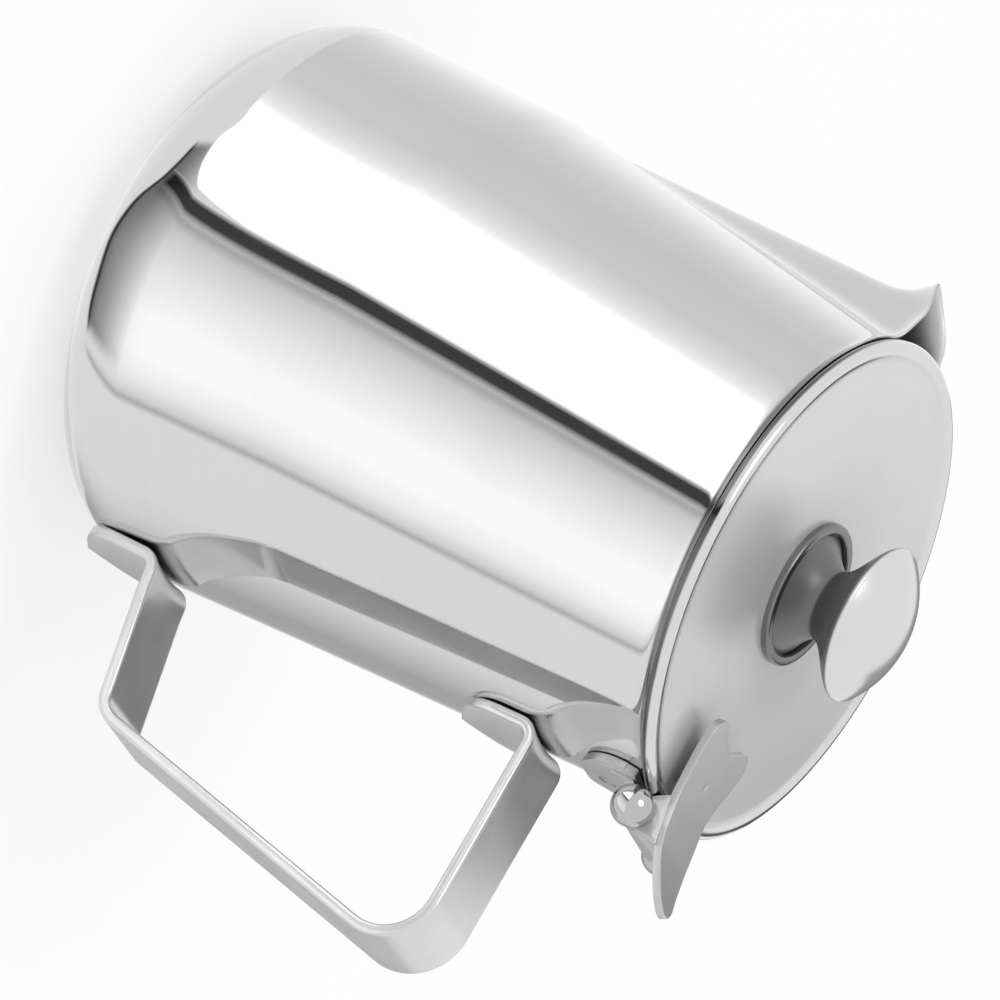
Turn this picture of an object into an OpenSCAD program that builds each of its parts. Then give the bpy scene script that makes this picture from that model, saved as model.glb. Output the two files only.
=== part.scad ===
// Hot milk jug with a hinged lid, in stainless steel sheet.
// Origin: centre of the base on the table. +Z up, spout towards +X, handle towards -X.

/* [Jug body] */
// Outer diameter of the belly
belly_d = 90; // [84:1:100]
// Height of the rim above the table
body_h = 111; // [107:0.5:118]
// Sheet thickness of the body
wall_t = 0.8; // [0.6:0.1:1.2]
// Outer radius of the corner between base and wall
foot_r = 16; // [12:1:18]
// Inward taper of the wall, in degrees
wall_taper = 2.4; // [1.8:0.1:3]
// Diameter of the recess pressed into the base
base_recess_d = 50; // [40:1:52]
// Depth of the recess pressed into the base
base_recess = 0.6; // [0.4:0.1:1]

/* [Mouth and spout] */
// Height at which the spout crease starts
spout_z = 45; // [42:1:55]
// How far the centre of the rim lies behind the centre of the base
mouth_shift = 4.1; // [3.5:0.1:4.6]
// How much the crease draws in the radius of the rim
mouth_draw = 3.4; // [2.8:0.1:4]
// How far the rim turns outwards
rim_flare = 1.3; // [0.8:0.1:1.6]
// Height of the turned-out stretch of the rim
rim_flare_h = 3; // [2:0.5:4]
// Distance of the spout's keel from the base centre where it leaves the belly
keel_foot_x = 44.3; // [43.8:0.1:45]
// Distance of the keel from the base centre just below the beak
keel_top_x = 43.3; // [42.8:0.1:44]
// How far the tip of the beak curls forward
beak_curl = 3.9; // [2.5:0.1:4.5]
// Height of the curled stretch of the beak
beak_curl_h = 9; // [7:0.5:11]
// How far the beak's tip lies below the rim
beak_drop = 5.6; // [4.5:0.1:6.5]
// Share of that drop that the spout's whole lip has
lip_drop_share = 0.4; // [0.3:0.05:0.5]
// Half angle of the spout in plan, in degrees
spout_half_angle = 40; // [36:1:44]
// Rounding of the keel, in degrees of plan angle
keel_round = 2; // [1:0.5:3]
// Width of the hollow that blends the spout into the round wall
spout_blend = 2.2; // [1:0.2:3]

/* [Handle] */
// Width of the handle's strap
strap_w = 16; // [12:0.5:18]
// Thickness of the handle's strap
strap_t = 1.8; // [1.5:0.1:2.5]
// Height at which the lower leg leaves the wall
lower_leg_z = 24; // [22:1:28]
// Upward angle of the lower leg
lower_leg_rise = 14.5; // [8:0.5:18]
// How far below the rim the upper leg leaves the wall
upper_leg_drop = 19.4; // [19:0.2:23]
// Upward angle of the upper leg
upper_leg_rise = 2.3; // [0:0.1:5]
// Distance of the grip from the belly, at its lower corner
grip_out = 24.85; // [21:0.05:29]
// Outward lean of the grip
grip_lean = 11.3; // [5:0.1:14]
// Length of the lower tab below its bend
lower_tab = 14.4; // [11:0.2:16]
// Length of the upper tab below its bend
upper_tab = 14.3; // [11:0.1:16]
// Bend radius at the wall, on the middle of the strap
tab_bend_r = 2.6; // [1.8:0.1:4]
// Bend radius of the lower corner, on the middle of the strap
lower_corner_r = 4.6; // [3:0.1:7]
// Bend radius of the upper corner, on the middle of the strap
upper_corner_r = 8; // [5:0.5:10]

/* [Hinge] */
// Distance of the pin behind the wall just under the rim
pin_out = 5.34; // [5:0.02:6.6]
// Height of the pin above the rim
pin_above_rim = 1; // [0.5:0.1:1.4]
// Diameter of the hinge pin
pin_d = 2.5; // [2:0.1:2.8]
// Radial clearance of the pin in the bracket's knuckle
pin_clear = 0.05; // [0.02:0.01:0.1]
// Diameter of the pin's round heads
pin_head_d = 6.4; // [5:0.1:7]
// Sheet thickness of the bracket
bracket_t = 1.2; // [1:0.1:1.5]
// Width of the bracket's tab on the wall
bracket_w = 15; // [12:0.5:16]
// Length of the bracket's tab on the wall
bracket_tab = 9; // [7:0.5:11]
// Outer diameter of the knuckle around the pin
knuckle_d = 4.8; // [4.2:0.1:5.2]

/* [Thumb lever] */
// Sheet thickness of the lever
lever_t = 1.2; // [0.8:0.1:1.4]
// Width of the lever at the hinge
lever_w = 14.4; // [13:0.2:15]
// Gap between the lever and the lid, bridged by the welded dimple
lever_gap = 1.9; // [1.4:0.1:2.2]
// Reach of the lever's two front lobes ahead of the pin
lobe_reach = 18; // [15:0.5:20]
// Half width of the lever across its two front lobes
lobe_w = 8.6; // [7.8:0.1:9]
// Depth of the notch between the two lobes
lobe_notch = 2.4; // [1:0.2:3]
// Reach of the tail behind the pin
tail_reach = 10.3; // [9:0.1:12]
// Height of the tail's tip above the front of the lever
tail_rise = 5.6; // [4.6:0.2:7]

/* [Lid] */
// How far the lid reaches past the rim
lid_overhang = 0.87; // [0.1:0.01:1.2]
// Sheet thickness of the lid
lid_t = 0.8; // [0.6:0.1:1]
// Diameter of the curled edge of the lid
lid_bead_d = 2.2; // [1.8:0.1:2.6]
// How far the curled edge stands above the lid's face
lid_bead_proud = 0.4; // [0.1:0.05:0.5]
// Clearance between the curled edge and the rim
lid_rest = 0.3; // [0.2:0.05:0.4]

/* [Knob] */
// Distance of the lid's centre and the knob behind the centre of the rim
knob_back = 0.7; // [0:0.1:1.2]
// Diameter of the knob's head
knob_d = 24.7; // [20:0.1:27]
// Height of the knob's top above the lid
knob_h = 16.7; // [14:0.1:20]
// Height of the head's rim above the lid
knob_rim_h = 11.7; // [10:0.1:13]
// Diameter of the neck
neck_d = 10.8; // [9:0.1:12]
// Height of the neck above the lid
neck_h = 4.4; // [3.5:0.1:6]
// Outer diameter of the collar ring under the knob
collar_d = 22.6; // [21:0.1:24]
// Width of the collar ring's wall
collar_w = 1.5; // [1:0.1:2]
// Height of the collar ring
collar_h = 1.2; // [0.8:0.1:1.6]
// Diameter of the screw that holds the knob
screw_d = 4; // [3:0.5:5]

/* [Hidden] */

$fn = 96;
belly_r = belly_d / 2;
foot_x = belly_r - foot_r;
grip_x = belly_r + grip_out;
upper_leg_z = body_h - upper_leg_drop;
knob_x = mouth_shift + knob_back;
// Gap between two pieces that lie flush on each other
seat = 0.15;
// Radial gap of a pin or screw that is pressed or screwed in
tight = 0.02;
// The spun lower wall ends here, and the lofted mouth starts this far below
seam_z = spout_z - 1;
seam_lap = 1;
// How far the lofted wall stays inside the faces of the spun wall at the seam
seam_inset = 0.02;
seam_inset_in = 0.1;
pin_z = body_h + pin_above_rim;
pin_r = pin_d / 2;
lid_r = wall_r(body_h) + rim_flare + lid_overhang;
bead_r = lid_bead_d / 2;
lid_low = body_h + lid_rest;
lid_top = lid_low + lid_bead_d - lid_bead_proud;
lever_low = lid_top + lever_gap;
bend_steps = 8;
weld_d = 3;
weld_depth = 0.25;
eps = 0.01;

// Helpers for curves in a plane
function unit(v) = v / norm(v);
function left_of(d) = [-d[1], d[0]];
function turn(a, b) = atan2(a[0] * b[1] - a[1] * b[0], a[0] * b[0] + a[1] * b[1]);
function spin(v, a) = [v[0] * cos(a) - v[1] * sin(a), v[0] * sin(a) + v[1] * cos(a)];
function reverse(list) = [for (i = [len(list) - 1:-1:0]) list[i]];
function smooth(u) = let (c = min(1, max(0, u))) c * c * (3 - 2 * c);
function bezier(a, b, c, d, n) = [for (i = [0:n]) let (t = i / n, s = 1 - t)
    s * s * s * a + 3 * s * s * t * b + 3 * s * t * t * c + t * t * t * d];

// One side of a strip that follows a path, with a bend radius at each inner point
function strip_edge(path, radii, side) = concat(
    [path[0] + left_of(unit(path[1] - path[0])) * side],
    [for (i = [1:len(path) - 2])
        let (a = unit(path[i] - path[i - 1]), b = unit(path[i + 1] - path[i]),
             bend = turn(a, b), r = radii[i - 1] * sign(bend),
             centre = path[i] - a * abs(r * tan(bend / 2)) + left_of(a) * r)
        for (k = [0:bend_steps]) centre + spin(left_of(a) * (side - r), bend * k / bend_steps)],
    [path[len(path) - 1] + left_of(unit(path[len(path) - 1] - path[len(path) - 2])) * side]);

// A bent strip of sheet, drawn from the side and as wide as asked
module strip(path, radii, thick, width)
    rotate([90, 0, 0])
        linear_extrude(width, center = true)
            polygon(concat(strip_edge(path, radii, thick / 2),
                           reverse(strip_edge(path, radii, -thick / 2))));

// Outer shape of the wall: a cone above the foot, drawn in and shifted back by the spout
function cone_r(z) = foot_x + foot_r / cos(wall_taper) - (z - foot_r) * tan(wall_taper);
function drawn(z) = max(0, (z - spout_z) / (body_h - spout_z));
function wall_r(z) = cone_r(z) - mouth_draw * drawn(z);
function wall_x(z) = -mouth_shift * drawn(z);
function back_x(z) = wall_x(z) - wall_r(z);

// The lip dips towards the beak
function lip_z(a) = body_h - beak_drop * (lip_drop_share * (1 - smooth(abs(a) / lip_span))
                                          + (1 - lip_drop_share) * (1 - smooth(abs(a) / beak_span)));
lip_span = 45;
beak_span = 9;

// Plan radius of the wall at plan angle a and height z, measured from its shifted centre
function keel_x(z) = keel_foot_x + (keel_top_x - keel_foot_x) * drawn(z);
function near_beak(a) = 1 - smooth(abs(a) / beak_curl_span);
beak_curl_span = 16;
function flare(a, z) = let (share = near_beak(a),
                            reach = rim_flare + (beak_curl - rim_flare) * share,
                            depth = rim_flare_h + (beak_curl_h - rim_flare_h) * share,
                            u = max(0, 1 - (lip_z(a) - z) / depth)) reach * u * u * u;
function wedge_r(a, z) = (keel_x(z) - wall_x(z)) * sin(spout_half_angle + keel_round)
    / sin(min(90, spout_half_angle + sqrt(a * a + keel_round * keel_round)));
function soft_max(p, q, k) = let (h = max(0, k - abs(p - q)) / k) max(p, q) + h * h * k / 4;
function outer_r(a, z) = flare(a, z) + (drawn(z) == 0 ? wall_r(z)
    : soft_max(wall_r(z), wedge_r(a, z), spout_blend * smooth(4 * drawn(z))));

// Lower body: a drawn cup with a rounded foot and a recess pressed into its base
module cup_section(inset)
    union() {
        translate([foot_x, foot_r]) circle(foot_r - inset);
        polygon([[0, inset], [foot_x, inset],
                 [foot_x + (foot_r - inset) * cos(wall_taper), foot_r + (foot_r - inset) * sin(wall_taper)],
                 [cone_r(seam_z + inset) - inset / cos(wall_taper), seam_z + inset],
                 [0, seam_z + inset]]);
    }

module cup()
    rotate_extrude()
        intersection() {
            difference() {
                cup_section(0);
                difference() {
                    cup_section(wall_t);
                    square([base_recess_d / 2 - wall_t, wall_t + base_recess]);
                }
                square([base_recess_d / 2, base_recess]);
            }
            square([belly_r + 1, seam_z]);
        }

// Upper body: rings of points lofted from the seam to the lip
loft_n = 84;
loft_rows = 14;
function loft_angle(i) = let (u = 2 * i / loft_n - 1) 180 * sign(u) * pow(abs(u), 1.5);
function row_z(a, j) = j == 0 ? seam_z - seam_lap
    : spout_z + (lip_z(a) - spout_z) * (1 - pow(1 - (j - 1) / (loft_rows - 1), 2));
function ring(j, inset) = [for (i = [0:loft_n - 1]) let (a = loft_angle(i), z = row_z(a, j),
    r = outer_r(a, z) - inset) [wall_x(z) + r * cos(a), r * sin(a), z]];

module mouth() {
    outer = [for (j = [0:loft_rows]) each ring(j, seam_inset)];
    inner = [for (j = [0:loft_rows]) each ring(j, wall_t - seam_inset_in)];
    shift = len(outer);
    top = loft_rows * loft_n;
    sides = [for (j = [0:loft_rows - 1], i = [0:loft_n - 1])
        let (k = (i + 1) % loft_n, p = j * loft_n + i, q = j * loft_n + k)
        each [[p, p + loft_n, q + loft_n],
              [p, q + loft_n, q],
              [shift + p, shift + q + loft_n, shift + p + loft_n],
              [shift + p, shift + q, shift + q + loft_n]]];
    edges = [for (i = [0:loft_n - 1]) let (k = (i + 1) % loft_n)
        each [[i, k, shift + k],
              [i, shift + k, shift + i],
              [top + i, shift + top + i, shift + top + k],
              [top + i, shift + top + k, top + k]]];
    polyhedron(concat(outer, inner), concat(sides, edges), convexity = 6);
}

module jug_body()
    color([0.83, 0.83, 0.84]) union() {
        cup();
        mouth();
    }

// A tab of sheet bent to the round wall, with its lower end rounded
module wall_tab(z_low, z_high, width, thick, lean) {
    z_mid = (z_low + z_high) / 2;
    inner = wall_r(z_mid) + seat;
    intersection() {
        translate([wall_x(z_mid), 0, z_mid]) rotate([0, lean, 0])
            difference() {
                cylinder(h = z_high - z_low + thick, r = inner + thick, center = true);
                cylinder(h = z_high - z_low + 3 * thick, r = inner, center = true);
            }
        translate([-2 * belly_r, 0, 0]) rotate([90, 0, 90])
            linear_extrude(2 * belly_r - belly_r / 2) union() {
                translate([0, z_low + width / 2]) circle(width / 2);
                translate([-width / 2, z_low + width / 2]) square([width, z_high - z_low - width / 2]);
            }
    }
}

// The two tabs, spot-welded to the wall
tab_x = belly_r + seat + strap_t / 2;
lower_tab_z = lower_leg_z - lower_tab;
upper_tab_z = upper_leg_z - upper_tab;
wall_lean = atan((mouth_draw - mouth_shift) / (body_h - spout_z) + tan(wall_taper));
upper_bend_x = back_x(upper_leg_z) - seat - strap_t / 2;

// Corners of the strap's middle line
lower_dir = [-cos(lower_leg_rise), sin(lower_leg_rise)];
lower_bend = [-tab_x, lower_leg_z];
lower_corner = lower_bend + lower_dir * (grip_x - tab_x) / cos(lower_leg_rise);
upper_bend = [upper_bend_x, upper_leg_z];
grip_len = (upper_leg_z + (lower_corner[0] * -1 + upper_bend_x) * tan(upper_leg_rise) - lower_corner[1])
    / (cos(grip_lean) - sin(grip_lean) * tan(upper_leg_rise));
upper_corner = lower_corner + grip_len * [-sin(grip_lean), cos(grip_lean)];
stub = 2 * tab_bend_r;

module weld_mark(x, z)
    translate([x, 0, z]) rotate([0, 90, 0]) cylinder(h = 2 * weld_depth, d = weld_d, center = true);

module handle()
    color([0.62, 0.62, 0.63]) difference() {
        union() {
            strip([lower_bend - [0, stub], lower_bend, lower_corner, upper_corner, upper_bend,
                   upper_bend + stub * [-sin(wall_lean), -cos(wall_lean)]],
                  [tab_bend_r, lower_corner_r, upper_corner_r, tab_bend_r], strap_t, strap_w);
            wall_tab(lower_tab_z, lower_leg_z - tab_bend_r, strap_w, strap_t, 0);
            wall_tab(upper_tab_z, upper_leg_z - tab_bend_r, strap_w, strap_t, wall_lean);
        }
        weld_mark(-tab_x - strap_t / 2, lower_tab_z + lower_tab / 2);
        weld_mark(back_x(upper_tab_z + upper_tab / 2) - seat - strap_t, upper_tab_z + upper_tab / 2);
    }

// Hinge bracket: a tab on the wall that bends out under the rim into a knuckle for the pin
bracket_top = body_h - rim_flare_h - 1;
bracket_low = bracket_top - bracket_tab;
bracket_mid = (bracket_low + bracket_top) / 2;
bracket_x = back_x(bracket_top) - seat - bracket_t / 2;
pin_x = pin_out - back_x(bracket_top);
knuckle_w = lever_w - 2 * (lever_t + lid_rest);
module hinge_bracket()
    color([0.66, 0.66, 0.67]) difference() {
        union() {
            wall_tab(bracket_low, bracket_top, bracket_w, bracket_t, wall_lean);
            strip([[bracket_x, bracket_top] - 2 * bracket_t * [sin(wall_lean), cos(wall_lean)],
                   [bracket_x, bracket_top],
                   [-pin_x + knuckle_d / 2 - bracket_t / 2, pin_z - pin_r],
                   [-pin_x + knuckle_d / 2 - bracket_t / 2, pin_z]],
                  [bracket_t, bracket_t / 2], bracket_t, knuckle_w);
            translate([-pin_x, 0, pin_z]) rotate([90, 0, 0])
                cylinder(h = knuckle_w, d = knuckle_d, center = true);
        }
        translate([-pin_x, 0, pin_z]) rotate([90, 0, 0])
            cylinder(h = knuckle_w + 1, r = pin_r + pin_clear, center = true);
        weld_mark(back_x(bracket_mid) - seat - bracket_t, bracket_mid);
    }

// Pin with one round head, and the second head pressed onto its other end
ear_out = lever_w / 2;
head_sink = 0.35;
pin_tip = ear_out + pin_head_d * 0.35;
module round_head()
    intersection() {
        translate([0, 0, pin_head_d * head_sink]) sphere(d = pin_head_d);
        translate([0, 0, pin_head_d / 2]) cube(pin_head_d, center = true);
    }

module hinge_pin()
    color([0.85, 0.85, 0.86]) translate([-pin_x, 0, pin_z]) union() {
        translate([0, -ear_out - eps, 0]) rotate([90, 0, 0]) round_head();
        translate([0, -ear_out - eps - 1, 0]) rotate([-90, 0, 0])
            cylinder(h = ear_out + eps + 1 + pin_tip, r = pin_r);
    }

module pin_cap()
    color([0.85, 0.85, 0.86]) translate([-pin_x, 0, pin_z]) difference() {
        translate([0, ear_out + eps, 0]) rotate([-90, 0, 0]) round_head();
        rotate([-90, 0, 0]) cylinder(h = pin_tip + tight, r = pin_r + tight);
    }

// Thumb lever: lobed front, two ears down to the pin and a scalloped tail that curls up
lever_mid = lever_low + lever_t / 2;
front_x = -pin_x + lobe_reach;
tail_x = -pin_x - tail_reach;
half_w = lever_w / 2;
outline_n = 8;
lobe_back = front_x - 3.2;
neck_x = front_x - 12;
scallop_x = -pin_x - 5;
barb_x = -pin_x - 6.9;
lever_half = concat(
    bezier([front_x - lobe_notch, 0], [front_x - lobe_notch, 0.3 * lobe_w],
           [front_x - 0.9, 0.5 * lobe_w], [front_x, 0.78 * lobe_w], outline_n),
    bezier([front_x, 0.78 * lobe_w], [front_x - 0.3, 0.92 * lobe_w],
           [front_x - 1.6, lobe_w], [lobe_back, lobe_w], outline_n),
    bezier([lobe_back, lobe_w], [front_x - 6.5, lobe_w], [front_x - 8, half_w], [neck_x, half_w], outline_n),
    bezier([scallop_x + 2.6, half_w], [scallop_x + 1.4, 0.98 * half_w],
           [scallop_x + 0.8, 0.86 * half_w], [scallop_x, 0.66 * half_w], outline_n),
    bezier([scallop_x - 0.4, 0.72 * half_w], [scallop_x - 1.6, 0.78 * half_w],
           [barb_x - 0.1, 0.45 * half_w], [barb_x, 0.38 * half_w], outline_n),
    bezier([barb_x - 0.3, 0.36 * half_w], [barb_x - 1.5, 0.3 * half_w],
           [tail_x, 0.3 * half_w], [tail_x, 0], outline_n));

module lever_plan()
    polygon(concat(lever_half, [for (p = reverse(lever_half)) [p[0], -p[1]]]));

ear_wall = 1.1;
ear_front = 5.2;
module lever_ear()
    rotate([90, 0, 0]) linear_extrude(lever_t, center = true) union() {
        translate([-pin_x, pin_z]) circle(pin_r + ear_wall);
        polygon([[-pin_x + ear_front, lever_low + eps],
                 [-pin_x + 0.7 * ear_front, pin_z - 0.8],
                 [-pin_x + 0.6, pin_z - pin_r - ear_wall],
                 [-pin_x - pin_r - ear_wall, pin_z],
                 [-pin_x - 3, lever_low + 2.2]]);
    }

lever_path = [[front_x + 1, lever_mid], [-pin_x + 6.2, lever_mid], [-pin_x - 2, lever_mid + 1.6],
              [-pin_x - 6, lever_mid + 3.2], [tail_x - 0.5, lever_mid + tail_rise]];
lever_bends = [6, 8, 8];
lever_weld_x = front_x - 8.4;
module thumb_lever()
    color([0.72, 0.72, 0.73]) difference() {
        union() {
            intersection() {
                translate([0, 0, pin_z]) linear_extrude(2 * tail_rise) lever_plan();
                strip(lever_path, lever_bends, lever_t, 2 * lever_w);
            }
            for (side = [-1, 1]) translate([0, side * (ear_out - lever_t / 2), 0]) lever_ear();
            translate([lever_weld_x, 0, lid_top]) cylinder(h = lever_gap + lever_t / 2, d = weld_d);
        }
        translate([-pin_x, 0, pin_z]) rotate([90, 0, 0])
            cylinder(h = 2 * lever_w, r = pin_r + tight, center = true);
        translate([lever_weld_x, 0, lever_low + lever_t - weld_depth]) cylinder(h = 1, d = 0.6 * weld_d);
    }

// Lid: a flat disc with a curled edge, notched at the back for the bracket
notch_x = -pin_x + 5;
bead_steps = 24;
bead_z = lid_low + bead_r;
bead_from = 180 - asin((lid_top - lid_t - bead_z) / bead_r);
bead_to = 540 - asin((lid_top - bead_z) / bead_r);
lid_outline = concat(
    [[0, lid_top - lid_t]],
    [for (i = [0:bead_steps]) let (a = bead_from + (bead_to - bead_from) * i / bead_steps)
        [lid_r - bead_r + bead_r * cos(a), bead_z + bead_r * sin(a)]],
    [[0, lid_top]]);

module lid()
    color([0.86, 0.86, 0.87]) difference() {
        translate([-knob_x, 0, 0]) rotate_extrude() polygon(lid_outline);
        translate([-knob_x - 2 * lid_r, -half_w - lid_rest, lid_low - 1])
            cube([notch_x + knob_x + 2 * lid_r, lever_w + 2 * lid_rest, lid_bead_d + 2]);
        translate([-knob_x, 0, lid_low - 1]) cylinder(h = lid_bead_d + 2, r = screw_d / 2 + 0.1);
    }

// Collar ring that frames the foot of the knob
collar_round = 0.5;
module knob_collar()
    color([0.6, 0.6, 0.61]) translate([-knob_x, 0, lid_top]) rotate_extrude() union() {
        translate([collar_d / 2 - collar_w, 0]) square([collar_w, collar_h - collar_round]);
        translate([collar_d / 2 - collar_w, 0]) square([collar_w - collar_round, collar_h]);
        translate([collar_d / 2 - collar_round, collar_h - collar_round]) circle(collar_round);
    }

// Knob: a hollow-sided foot, a narrow neck and a domed head
knob_r = knob_d / 2;
foot_knob_r = collar_d / 2 - collar_w - seat;
knob_hole = 9;
dome_h = knob_h - knob_rim_h;
dome_r = (knob_r * knob_r + dome_h * dome_h) / (2 * dome_h);
rim_angle = asin((dome_r - dome_h) / dome_r);
dome_n = 14;
side_n = 8;
neck_r = neck_d / 2;
knob_outline = concat(
    [[0, 0], [foot_knob_r, 0]],
    bezier([foot_knob_r, 0.5], [foot_knob_r - 1.4, 1.1],
           [neck_r + 0.7, neck_h - 1.8], [neck_r, neck_h], side_n),
    bezier([neck_r + 0.1, neck_h + 0.5], [neck_r + 0.4, neck_h + 2.4],
           [knob_r - 2.6, knob_rim_h - 2.8], [knob_r - 0.5, knob_rim_h - 0.5], side_n),
    [for (i = [0:dome_n]) let (a = rim_angle + (90 - rim_angle) * i / dome_n)
        [i == dome_n ? 0 : dome_r * cos(a), knob_h - dome_r + dome_r * sin(a)]]);

module knob()
    color([0.7, 0.7, 0.71]) translate([-knob_x, 0, lid_top + eps]) difference() {
        rotate_extrude() polygon(knob_outline);
        translate([0, 0, -1]) cylinder(h = knob_hole + 1, r = screw_d / 2 + tight);
    }

// Washer and screw under the lid hold the knob
washer_t = 0.8;
washer_d = 2.25 * screw_d;
screw_head_d = 1.9 * screw_d;
screw_head_h = 0.45 * screw_d;
cross_w = 0.22 * screw_d;
module knob_washer()
    color([0.75, 0.75, 0.76]) translate([-knob_x, 0, lid_top - lid_t - eps - washer_t]) difference() {
        cylinder(h = washer_t, d = washer_d);
        translate([0, 0, -1]) cylinder(h = washer_t + 2, r = screw_d / 2 + 0.1);
    }

module knob_screw()
    color([0.78, 0.78, 0.79]) translate([-knob_x, 0, lid_top - lid_t - 2 * eps - washer_t]) union() {
        difference() {
            translate([0, 0, -screw_head_h]) cylinder(h = screw_head_h, d = screw_head_d);
            for (angle = [0, 90]) rotate([0, 0, angle])
                translate([0, 0, -screw_head_h])
                    cube([0.55 * screw_head_d, cross_w, screw_head_h], center = true);
        }
        translate([0, 0, -screw_head_h / 4]) cylinder(h = washer_t + lid_t + knob_hole - 1, d = screw_d);
    }

jug_body();
handle();
hinge_bracket();
hinge_pin();
pin_cap();
thumb_lever();
lid();
knob_collar();
knob();
knob_washer();
knob_screw();
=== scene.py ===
import math

import bmesh
import bpy
import numpy as np
from mathutils import Matrix, Vector


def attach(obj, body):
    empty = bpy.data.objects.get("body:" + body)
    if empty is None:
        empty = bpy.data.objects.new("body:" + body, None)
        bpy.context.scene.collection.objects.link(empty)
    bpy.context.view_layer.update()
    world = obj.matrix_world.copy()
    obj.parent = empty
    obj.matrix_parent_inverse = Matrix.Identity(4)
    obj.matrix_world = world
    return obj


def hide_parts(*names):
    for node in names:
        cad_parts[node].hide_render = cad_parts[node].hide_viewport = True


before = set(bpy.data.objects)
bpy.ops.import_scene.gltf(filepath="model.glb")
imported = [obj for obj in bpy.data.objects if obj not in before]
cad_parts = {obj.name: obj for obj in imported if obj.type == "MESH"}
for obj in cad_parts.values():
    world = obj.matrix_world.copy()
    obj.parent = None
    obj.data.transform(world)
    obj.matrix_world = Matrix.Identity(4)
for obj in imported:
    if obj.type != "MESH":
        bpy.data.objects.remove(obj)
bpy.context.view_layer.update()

mm = 0.001

# Camera: a long lens, level with the eye of someone who looks down on the jug, and rolled so
# that the jug seems to lie with its spout to the right. Its place was fitted to the outlines.
camera_azimuth = math.radians(15.29)
camera_elevation = math.radians(25.07)
camera_roll = math.radians(25.92)
camera_place = Vector((-295.8, 1037.2, 566.4)) * mm
camera_back = Vector((-math.cos(camera_elevation) * math.sin(camera_azimuth),
                      math.cos(camera_elevation) * math.cos(camera_azimuth),
                      math.sin(camera_elevation)))
upright = (Vector((0, 0, 1)) - camera_back * camera_back.z).normalized()
across = (-camera_back).cross(upright)
picture_right = math.cos(camera_roll) * upright - math.sin(camera_roll) * across
picture_down = math.sin(camera_roll) * upright + math.cos(camera_roll) * across
camera = bpy.data.objects.new("camera", bpy.data.cameras.new("camera"))
camera.data.lens = 288
camera.data.sensor_width = 36
camera.data.clip_start = 0.05
camera.data.clip_end = 50
turned_to = Matrix((picture_right, -picture_down, camera_back)).transposed()
camera.matrix_world = Matrix.Translation(camera_place) @ turned_to.to_4x4()
bpy.context.collection.objects.link(camera)
bpy.context.scene.camera = camera
bpy.context.scene.view_settings.view_transform = "Standard"


# Studio: a white floor, a white room, two soft lamps overhead, and cards that lie flat on the
# floor round the jug. The camera doesn't see the cards: they only show in the polished steel.
class Flow:
    """A socket of a node tree. Python sums on it add Math nodes to the tree."""

    def __init__(self, tree, socket=None):
        self.tree = tree
        self.socket = socket

    def node(self, kind, settings=None, sockets=None, out=0):
        """A new node: its settings are set first, then the values or links of its sockets."""
        made = self.tree.nodes.new(kind)
        for name, value in (settings or {}).items():
            if name == "stops":
                ramp = made.color_ramp
                ramp.elements.remove(ramp.elements[1])
                ramp.elements[0].position = value[0][0]
                ramp.elements[0].color = (value[0][1],) * 3 + (1,)
                for place, tone in value[1:]:
                    ramp.elements.new(place).color = (tone, tone, tone, 1)
            elif name == "curve":
                made.color_ramp.interpolation = value
            else:
                setattr(made, name, value)
        for name, value in (sockets or {}).items():
            if isinstance(value, Flow):
                self.tree.links.new(value.socket, made.inputs[name])
            else:
                made.inputs[name].default_value = value
        return Flow(self.tree, made.outputs[out] if len(made.outputs) else None)

    def maths(self, operation, *values):
        """A Math node on these values."""
        return self.node("ShaderNodeMath", {"operation": operation}, dict(enumerate(values)))

    def __add__(self, other):
        return self.maths("ADD", self, other)

    def __sub__(self, other):
        return self.maths("SUBTRACT", self, other)

    def __rsub__(self, other):
        return self.maths("SUBTRACT", other, self)

    def __mul__(self, other):
        return self.maths("MULTIPLY", self, other)

    def __truediv__(self, other):
        return self.maths("DIVIDE", self, other)

    def __neg__(self):
        return self.maths("MULTIPLY", self, -1.0)

    __radd__ = __add__
    __rmul__ = __mul__


def sine(value):
    return value.maths("SINE", value)


def cosine(value):
    return value.maths("COSINE", value)


def root(value):
    return value.maths("SQRT", value)


def size_of(value):
    return value.maths("ABSOLUTE", value)


def least(value, other):
    return value.maths("MINIMUM", value, other)


def most(value, other):
    return value.maths("MAXIMUM", value, other)


def eased(value):
    """0 below 0, 1 above 1, and a soft S between them."""
    held = least(most(value, 0.0), 1.0)
    return held * held * (3 - 2 * held)


def shader(name):
    """A new material with an empty tree, and the start of its flow."""
    made = bpy.data.materials.new(name)
    made.use_nodes = True
    made.node_tree.nodes.clear()
    return made, Flow(made.node_tree)


def mesh_piece(name, points, faces):
    """A new object from points in metres and faces, with smooth faces."""
    mesh = bpy.data.meshes.new(name)
    mesh.from_pydata([tuple(p) for p in points], [], [tuple(f) for f in faces])
    mesh.shade_smooth()
    made = bpy.data.objects.new(name, mesh)
    bpy.context.collection.objects.link(made)
    return made


def seen_by(flow):
    """1 for what the camera sees straight, in metal or through glass, and 0 for other rays."""
    rays = [flow.node("ShaderNodeLightPath", out=kind)
            for kind in ("Is Camera Ray", "Is Glossy Ray", "Is Transmission Ray")]
    return least(rays[0] + rays[1] + rays[2], 1.0)


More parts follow.
